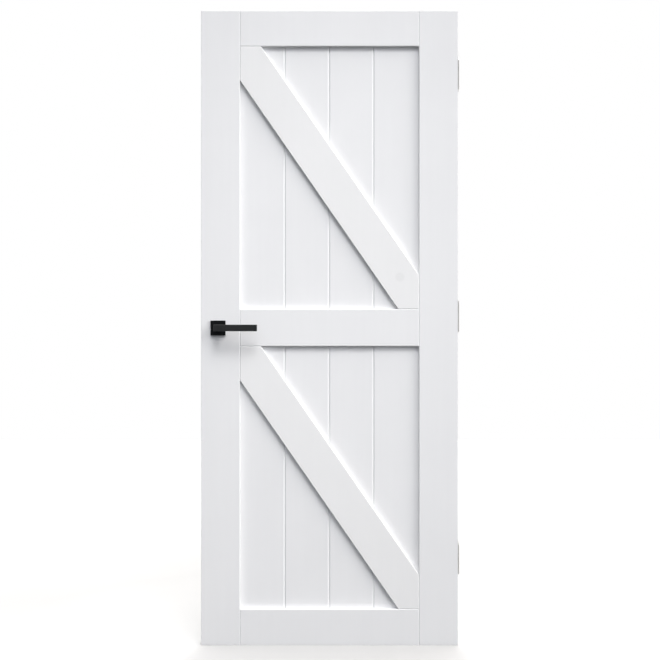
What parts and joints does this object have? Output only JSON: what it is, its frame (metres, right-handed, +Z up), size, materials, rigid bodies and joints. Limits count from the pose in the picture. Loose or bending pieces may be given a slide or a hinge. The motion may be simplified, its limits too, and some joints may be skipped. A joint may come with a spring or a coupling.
{
  "type": "interior door leaf",
  "caption": "White ledged and braced interior door leaf with tongued boards, diagonal braces, black square lever handle, mortise latch and butt hinges.",
  "frame": {"origin": "middle of the leaf's bottom edge, halfway through its thickness", "axes": "+X to the hinge side, -Y out of the front face that the picture shows, +Z up"},
  "size_m": [0.8332, 0.156, 2.04],
  "materials": {
    "white_paint": "satin white paint on timber",
    "beech": "bare beech",
    "black_metal": "matt black powder coat",
    "bare_steel": "brushed",
    "zinc": "zinc plated",
    "magnet": "ground"
  },
  "bodies": {
    "frame_side": {"top_hinge_frame_leaf": "bare_steel", "top_hinge_pin": "bare_steel", "middle_hinge_frame_leaf": "bare_steel", "middle_hinge_pin": "bare_steel", "bottom_hinge_frame_leaf": "bare_steel", "bottom_hinge_pin": "bare_steel"},
    "leaf": {"lock_stile": "white_paint", "hinge_stile": "white_paint", "top_rail": "white_paint", "mid_rail": "white_paint", "bottom_rail": "white_paint", "upper_board_1": "white_paint", "upper_board_2": "white_paint", "upper_board_3": "white_paint", "upper_board_4": "white_paint", "lower_board_1": "white_paint", "lower_board_2": "white_paint", "lower_board_3": "white_paint", "lower_board_4": "white_paint", "upper_front_brace": "white_paint", "upper_back_brace": "white_paint", "lower_front_brace": "white_paint", "lower_back_brace": "white_paint", "rail_dowels": "beech", "latch_case": "zinc", "latch_cover": "zinc", "front_rose_base": "zinc", "back_rose_base": "zinc", "latch_faceplate": "bare_steel", "latch_screws": "bare_steel", "follower_spring": "bare_steel", "rose_bolts": "bare_steel", "rose_sleeves": "bare_steel", "top_hinge_door_leaf": "bare_steel", "middle_hinge_door_leaf": "bare_steel", "bottom_hinge_door_leaf": "bare_steel", "hinge_screws": "bare_steel", "front_rose": "black_metal", "back_rose": "black_metal"},
    "handle": {"front_lever": "black_metal", "back_lever": "black_metal", "lever_spindle": "bare_steel", "latch_follower": "zinc", "lever_set_screws": "black_metal"},
    "retractor": {"latch_retractor": "zinc"},
    "latch": {"latch_bolt": "bare_steel", "bolt_magnet": "magnet"}
  },
  "joints": [
    {"name": "door_swing", "type": "hinge", "parent": "frame_side", "child": "leaf", "pos_m": [0.41425, 0.0265, 0], "axis": [0, 0, -1], "range_deg": [0, 170]},
    {"name": "lever_turn", "type": "hinge", "parent": "leaf", "child": "handle", "pos_m": [-0.358, 0, 1.02], "axis": [0, 1, 0], "range_deg": [0, 45], "stiffness_Nm_per_rad": 2, "springref_deg": -20.05, "deforming": ["follower_spring"]},
    {"name": "retractor_slide", "type": "slide", "parent": "leaf", "child": "retractor", "axis": [1, 0, 0], "range_m": [0, 0.011]},
    {"name": "bolt_slide", "type": "slide", "parent": "retractor", "child": "latch", "axis": [-1, 0, 0], "range_m": [0, 0.011]}
  ],
  "couplings": [
    {"joint": "retractor_slide", "follows": "lever_turn", "m_per_rad": 0.014}
  ]
}
